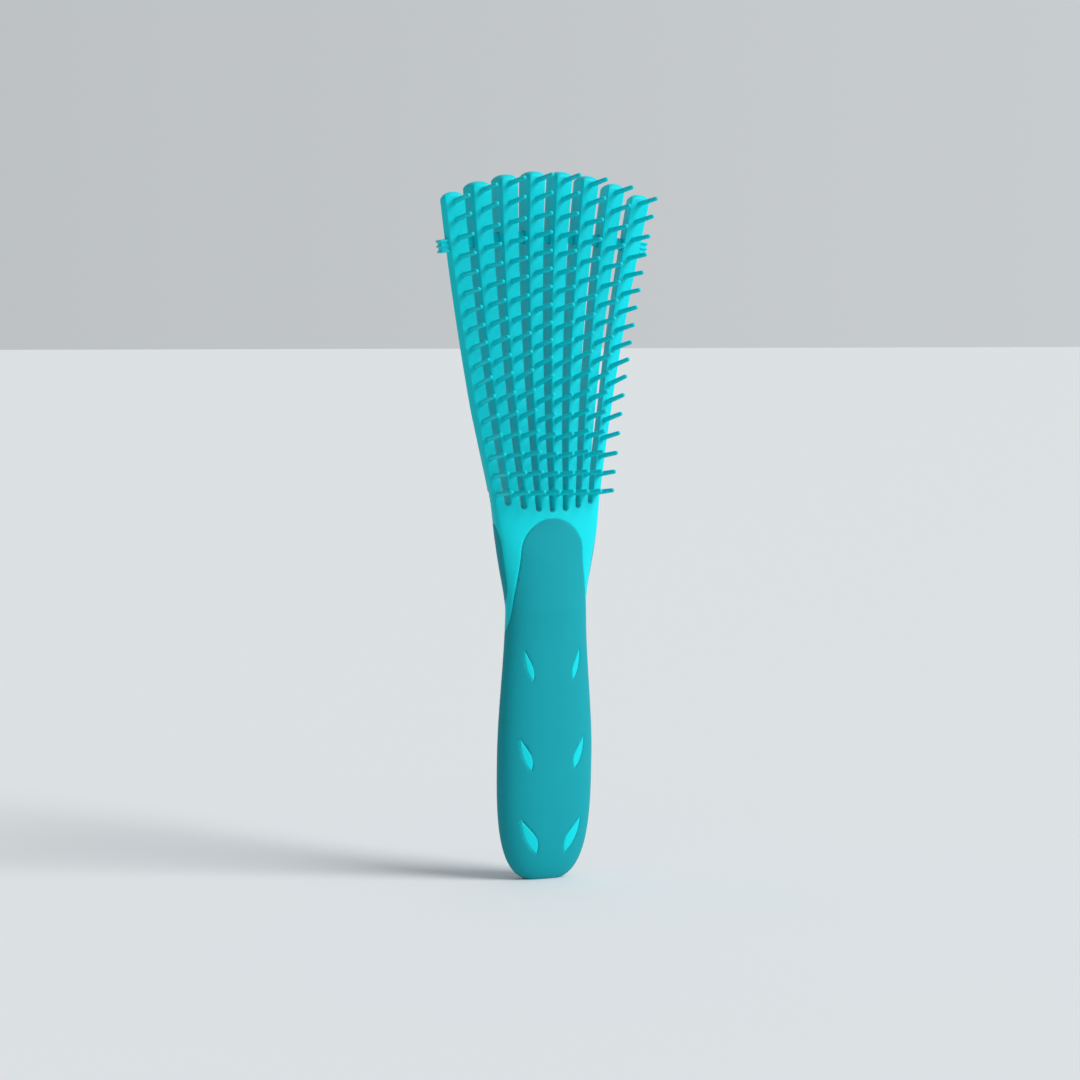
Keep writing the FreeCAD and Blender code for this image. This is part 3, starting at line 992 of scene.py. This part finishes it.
def pin_tree():
    """Nodes that set a tapered pin with a round tip on every point, turned by the point's aim."""
    tree = bpy.data.node_groups.new("pin_row", "GeometryNodeTree")
    tree.interface.new_socket("Geometry", in_out="INPUT", socket_type="NodeSocketGeometry")
    for name in ("Length", "Root Diameter", "Tip Diameter", "Seat"):
        tree.interface.new_socket(name, in_out="INPUT", socket_type="NodeSocketFloat")
    tree.interface.new_socket("Material", in_out="INPUT", socket_type="NodeSocketMaterial")
    tree.interface.new_socket("Geometry", in_out="OUTPUT", socket_type="NodeSocketGeometry")
    given = add_node(tree, "NodeGroupInput").outputs

    def sum_up(operation, *values):
        return add_node(tree, "ShaderNodeMath", dict(enumerate(values)), operation=operation).outputs[0]

    seat = sum_up("MULTIPLY", given["Seat"], -1.0)
    foot = add_node(tree, "ShaderNodeCombineXYZ", {"Z": seat}).outputs[0]
    head = add_node(tree, "ShaderNodeCombineXYZ", {"Z": given["Length"]}).outputs[0]
    shaft = add_node(tree, "GeometryNodeCurvePrimitiveLine", {"Start": foot, "End": head}).outputs[0]
    shaft = add_node(tree, "GeometryNodeResampleCurve", {"Curve": shaft, "Count": PIN_RINGS}).outputs[0]
    share = add_node(tree, "GeometryNodeSplineParameter").outputs["Factor"]
    whole = sum_up("ADD", given["Length"], given["Seat"])
    left = sum_up("POWER", sum_up("SUBTRACT", 1.0, share), RING_CROWDING)
    ring_height = sum_up("SUBTRACT", given["Length"], sum_up("MULTIPLY", left, whole))
    where = add_node(tree, "ShaderNodeCombineXYZ", {"Z": ring_height}).outputs[0]
    shaft = add_node(tree, "GeometryNodeSetPosition", {"Geometry": shaft, "Position": where}).outputs[0]
    position = add_node(tree, "GeometryNodeInputPosition").outputs[0]
    height = add_node(tree, "ShaderNodeSeparateXYZ", {"Vector": position}).outputs["Z"]
    below_tip = sum_up("SUBTRACT", given["Length"], height)
    thinning = sum_up("SUBTRACT", given["Root Diameter"], given["Tip Diameter"])
    taper = sum_up("DIVIDE", sum_up("MULTIPLY", thinning, below_tip), whole)
    body = sum_up("DIVIDE", sum_up("ADD", given["Tip Diameter"], taper), 2.0)
    tip = sum_up("DIVIDE", given["Tip Diameter"], 2.0)
    rest = sum_up("SUBTRACT", 1.0, sum_up("MINIMUM", sum_up("DIVIDE", below_tip, tip), 1.0))
    dome = sum_up("SQRT", sum_up("SUBTRACT", 1.0, sum_up("MULTIPLY", rest, rest)))
    radius = sum_up("MULTIPLY", body, sum_up("MAXIMUM", dome, TIP_FLAT))
    ring = add_node(tree, "GeometryNodeCurvePrimitiveCircle", {"Resolution": PIN_SIDES, "Radius": 1.0})
    pin = add_node(tree, "GeometryNodeCurveToMesh", {"Curve": shaft, "Scale": radius, "Fill Caps": True})
    tree.links.new(ring.outputs[0], pin.inputs["Profile Curve"])
    aim = add_node(tree, "GeometryNodeInputNamedAttribute", {"Name": "aim"}, data_type="FLOAT_VECTOR")
    turn = add_node(tree, "FunctionNodeEulerToRotation", {"Euler": aim.outputs["Attribute"]}).outputs[0]
    rows = add_node(tree, "GeometryNodeInstanceOnPoints", {"Points": given["Geometry"], "Rotation": turn})
    tree.links.new(pin.outputs[0], rows.inputs["Instance"])
    real = add_node(tree, "GeometryNodeRealizeInstances", {"Geometry": rows.outputs[0]}).outputs[0]
    real = add_node(tree, "GeometryNodeSetShadeSmooth", {"Geometry": real}).outputs[0]
    real = add_node(tree, "GeometryNodeSetMaterial", {"Geometry": real, "Material": given["Material"]})
    add_node(tree, "NodeGroupOutput", {"Geometry": real.outputs[0]})
    return tree


def pin_roots(place):
    """Where the row's pins stand, and how each is turned from pointing up."""
    low = (PIN_ROW_Z - APEX_Z) / cos(place * RIB_ANGLE)
    high = rib_top(place) - PIN_TIP_MARGIN
    steps = round((high - low) / PIN_PITCH)
    roots = []
    aims = []
    for step in range(steps + 1):
        share = step / steps
        tilt = float(np.interp(share, TILT_SHARES, TILTS))
        roots.append(in_fan(place, low + (high - low) * share, 0))
        fanned = Matrix.Rotation(place * RIB_ANGLE, 3, "Y")
        splayed = Matrix.Rotation(radians(PIN_SPLAY * place), 3, "Z")
        tilted = Matrix.Rotation(radians(90 - tilt), 3, "X")
        aims.append(tuple((fanned @ splayed @ tilted).to_euler()))
    return roots, aims


def pin_object(rib, tree):
    roots, aims = pin_roots(place_of(rib))
    mesh = bpy.data.meshes.new(f"pin_row_{rib}")
    mesh.from_pydata(roots, [], [])
    attribute = mesh.attributes.new("aim", "FLOAT_VECTOR", "POINT")
    attribute.data.foreach_set("vector", [value for aim in aims for value in aim])
    made = bpy.data.objects.new(f"pin_row_{rib}", mesh)
    bpy.context.scene.collection.objects.link(made)
    grow = made.modifiers.new("pins", "NODES")
    grow.node_group = tree
    wanted = {
        "Length": PIN_LENGTH,
        "Root Diameter": PIN_ROOT_D,
        "Tip Diameter": PIN_TIP_D,
        "Seat": PIN_SEAT,
        "Material": turquoise_plastic,
    }
    for item in tree.interface.items_tree:
        if item.in_out == "INPUT" and item.name in wanted:
            grow[item.identifier] = wanted[item.name]
    return applied(made)


pin_nodes = pin_tree()
for rib in range(1, RIBS + 1):
    row = pin_object(rib, pin_nodes)
    sway_with_rib(row)
    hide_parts(f"pins_{rib}")


# Tie strip
# A thin flat strip threaded through the ribs' windows, which keeps the tips in line while each rib can
# slide a little along it. It is a separate moulding of the same plastic.

STRIP_OVER = 0.0016       # how far it reaches into the ends
STRIP_STEPS = 60
STRIP_EDGE = 0.0002


def strip_end_angle():
    edge = rib_width(OUTER_PLACE, STRIP_RADIUS) / 2 + STRIP_OVER
    return OUTER_PLACE * RIB_ANGLE + asin(edge / STRIP_RADIUS)


def tie_strip():
    end = strip_end_angle()
    rings = []
    for step in range(STRIP_STEPS + 1):
        angle = end * (2 * step / STRIP_STEPS - 1)
        ring = []
        for rise, back in rounded_box(STRIP_HEIGHT / 2, STRIP_THICK, STRIP_EDGE):
            radius = STRIP_RADIUS + rise
            y = face_y(STRIP_RADIUS) + STRIP_BEHIND - STRIP_THICK / 2 + back
            ring.append((radius * sin(angle), y, APEX_Z + radius * cos(angle)))
        rings.append(ring)
    return mesh_object("tie_band", *loft(rings))


strip = tie_strip()
strip.data.materials.append(turquoise_plastic)
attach(strip, "tie")
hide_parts("tie_strip")


# Strip ends
# A small finned block pushed onto each end of the strip outside the outer ribs, so that the strip cannot
# slide out. Three fins stand proud of it all round.

END_GAP = 0.0003          # between an outer rib and the end beside it
END_LENGTH = 0.0027
END_HEIGHT = 0.0044
END_DEPTH = 0.0032
END_FINS = 3
FIN_THICK = 0.0009
FIN_PROUD = 0.00045
FIN_TURNS = (-90, -45, 0, 45, 90)
FIN_FULLNESS = 0.7        # under 1, a fin's edge is fuller than a half circle
END_EDGE = 0.00025


def end_sections():
    """Height and share of the fins at each section of an end, from its foot to its top."""
    pitch = (END_HEIGHT - FIN_THICK) / (END_FINS - 1)
    for fin in range(END_FINS):
        middle = (fin - (END_FINS - 1) / 2) * pitch
        for turn in FIN_TURNS:
            yield middle + FIN_THICK / 2 * sin(radians(turn)), cos(radians(turn)) ** FIN_FULLNESS


def end_object(name, side):
    near = rib_width(OUTER_PLACE, STRIP_RADIUS) / 2 + END_GAP
    rings = []
    for rise, proud in end_sections():
        half = END_DEPTH / 2 + FIN_PROUD * proud
        length = END_LENGTH + FIN_PROUD * proud
        ring = []
        for across, back in rounded_box(length / 2, 2 * half, END_EDGE):
            x, _, z = in_fan(OUTER_PLACE, STRIP_RADIUS + rise, near + length / 2 + across)
            ring.append((side * x, face_y(STRIP_RADIUS) + STRIP_BEHIND + back - half, z))
        rings.append(ring)
    return mesh_object(name, *loft(rings))


for name, side in (("left", -1), ("right", 1)):
    end = end_object(f"finned_end_{name}", side)
    end.data.materials.append(turquoise_plastic)
    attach(end, "tie")
    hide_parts(f"tie_end_{name}")


# Studio
# A large pale floor under the brush, a pale surround that is brighter on the right, and a soft key light
# from the upper right. The camera stands to the left of the brush's front, almost level with it.

FLOOR_HALF = 30.0
FLOOR_COLOUR = (0.78, 0.80, 0.81, 1)
FLOOR_ROUGHNESS = 0.9
SUN_ANGLE = radians(34)   # a wide one makes soft shadows
KEY_FROM = (0.80, -0.95, 0.85)
KEY_POWER = 2.7


def studio_floor():
    corners = [(-1, -1), (1, -1), (1, 1), (-1, 1)]
    points = [(x * FLOOR_HALF, y * FLOOR_HALF, 0) for x, y in corners]
    made = mesh_object("floor", points, [(0, 1, 2, 3)])
    material = bpy.data.materials.new("pale_floor")
    shader = nodes_of(material).nodes["Principled BSDF"]
    shader.inputs["Base Color"].default_value = FLOOR_COLOUR
    shader.inputs["Roughness"].default_value = FLOOR_ROUGHNESS
    made.data.materials.append(material)
    return made


def sun_light(name, position, power):
    """A light from far away in the direction of this position."""
    light = bpy.data.lights.new(name, "SUN")
    light.angle = SUN_ANGLE
    light.energy = power
    made = bpy.data.objects.new(name, light)
    made.location = position
    made.rotation_euler = (-Vector(position)).to_track_quat("-Z", "Y").to_euler()
    bpy.context.scene.collection.objects.link(made)
    return made


floor = studio_floor()
key = sun_light("key", KEY_FROM, KEY_POWER)

SURROUND_SIDES = (0.22, 0.80)     # strength of the surround on the left and on the right
SURROUND_COLOUR = (0.86, 0.90, 0.93, 1)


def studio_surround():
    """A pale light from all round that grows from left to right."""
    world = bpy.data.worlds.new("surround")
    tree = nodes_of(world)
    way = add_node(tree, "ShaderNodeTexCoord").outputs["Generated"]
    side = add_node(tree, "ShaderNodeSeparateXYZ", {"Vector": way}).outputs["X"]
    strength = add_node(tree, "ShaderNodeMapRange", {"Value": side, "From Min": -1.0, "From Max": 1.0})
    strength.inputs["To Min"].default_value = SURROUND_SIDES[0]
    strength.inputs["To Max"].default_value = SURROUND_SIDES[1]
    shader = tree.nodes["Background"]
    shader.inputs["Color"].default_value = SURROUND_COLOUR
    tree.links.new(strength.outputs["Result"], shader.inputs["Strength"])
    return world


bpy.context.scene.world = studio_surround()
bpy.context.scene.view_settings.view_transform = "Standard"

VIEW_YAW = radians(25.55)
VIEW_DISTANCE = 1.2
VIEW_HEIGHT = 0.1865
AIM_HEIGHT = 0.1152
AIM_LEFT = 0.00085
LENS = 118.3

aim = Vector((-AIM_LEFT * cos(VIEW_YAW), AIM_LEFT * sin(VIEW_YAW), AIM_HEIGHT))
spot = aim + VIEW_DISTANCE * Vector((-sin(VIEW_YAW), -cos(VIEW_YAW), 0))
spot.z = VIEW_HEIGHT
camera = bpy.data.objects.new("camera", bpy.data.cameras.new("camera"))
camera.data.lens = LENS
camera.data.sensor_width = 36.0
camera.data.clip_start = 0.01
camera.location = spot
camera.rotation_euler = (aim - spot).to_track_quat("-Z", "Y").to_euler()
bpy.context.scene.collection.objects.link(camera)
bpy.context.scene.camera = camera
